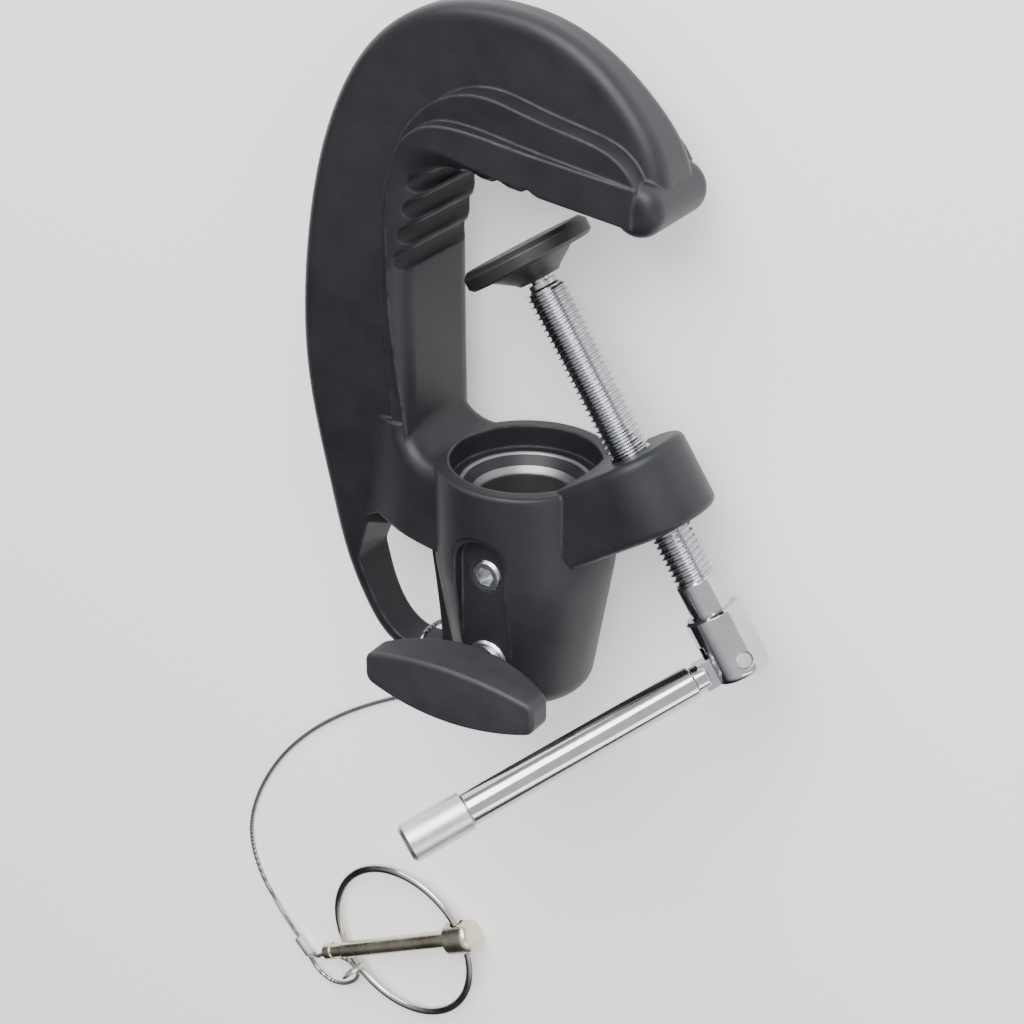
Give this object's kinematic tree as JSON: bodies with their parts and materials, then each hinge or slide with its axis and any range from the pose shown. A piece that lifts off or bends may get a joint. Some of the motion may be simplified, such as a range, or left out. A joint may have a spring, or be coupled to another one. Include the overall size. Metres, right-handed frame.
{
  "type": "super clamp",
  "caption": "Screw clamp for round tubes: toothed hook casting, tilted threaded spindle with swivel pad and folding lever, stand socket with locking knob, and a wired safety pin.",
  "frame": {"origin": "on the stand socket's axis, in the plane of its rim, half way through the casting's thickness; the clamp lies on its side", "axes": "+X from the hook's back to its nose, +Y from the socket up to the hook, along the socket's axis, +Z out of the side that carries the locking knob"},
  "size_m": [0.2112, 0.3766, 0.1102],
  "materials": {
    "casting": "satin charcoal paint over the casting's fine texture",
    "pad_paint": "satin black",
    "knob_black": "matte black, moulded",
    "chrome": "bright chrome plate",
    "satin_steel": "satin, turned",
    "zinc_steel": "bright zinc plate",
    "brass": "turned",
    "wire_steel": "stranded steel",
    "ferrule": "crimped, dull",
    "yellow_zinc": "pale yellow zinc plate",
    "spring_steel": "bright drawn wire"
  },
  "bodies": {
    "body": {"clamp_body": "casting", "knob_bush": "zinc_steel", "set_screw": "zinc_steel", "lanyard_loop": "wire_steel", "ferrule_top": "ferrule", "lanyard_wire": "wire_steel", "ferrule_end": "ferrule", "lanyard_eye": "wire_steel", "split_ring": "spring_steel", "linch_ring": "spring_steel"},
    "pad_seat": {"pad_collar": "zinc_steel"},
    "pad": {"swivel_pad": "pad_paint"},
    "spindle": {"spindle": "chrome", "clevis_head": "chrome", "lever_pin": "satin_steel"},
    "lever": {"lever_knuckle": "chrome", "lever_bar": "chrome", "lever_tip": "satin_steel"},
    "shoe": {"locking_shoe": "brass"},
    "knob": {"knob_stud": "zinc_steel", "knob_wing": "knob_black"},
    "safety_pin": {"linch_pin": "yellow_zinc"}
  },
  "joints": [
    {"name": "spindle_travel", "type": "slide", "parent": "body", "child": "pad_seat", "axis": [0.5476, -0.8368, 0], "range_m": [-0.0012, 0.049]},
    {"name": "spindle_turn", "type": "hinge", "parent": "pad_seat", "child": "spindle", "pos_m": [0.041, 0, 0], "axis": [0.5476, -0.8368, 0], "range_deg": [-250, 10085]},
    {"name": "pad_tilt", "type": "hinge", "parent": "pad_seat", "child": "pad", "pos_m": [0.00196, 0.05966, 0], "axis": [0, 0, 1], "range_deg": [-6, 6]},
    {"name": "lever_fold", "type": "hinge", "parent": "spindle", "child": "lever", "pos_m": [0.06964, -0.04376, 0], "axis": [0.6315, 0.4133, 0.6561], "range_deg": [0, 90]},
    {"name": "knob_travel", "type": "slide", "parent": "body", "child": "shoe", "axis": [0, 0, 1], "range_m": [-0.0015, 0.0075]},
    {"name": "knob_turn", "type": "hinge", "parent": "shoe", "child": "knob", "pos_m": [0, -0.057, 0], "axis": [0, 0, 1], "range_deg": [-361, 1801]},
    {"name": "safety_pin_swing", "type": "hinge", "parent": "body", "child": "safety_pin", "pos_m": [-0.03805, -0.19946, -0.02125], "axis": [-0.442, 0.897, 0], "range_deg": [0, 100]}
  ],
  "couplings": [
    {"joint": "spindle_turn", "follows": "spindle_travel", "rad_per_m": 3590.4},
    {"joint": "knob_turn", "follows": "knob_travel", "rad_per_m": 4188.8}
  ]
}
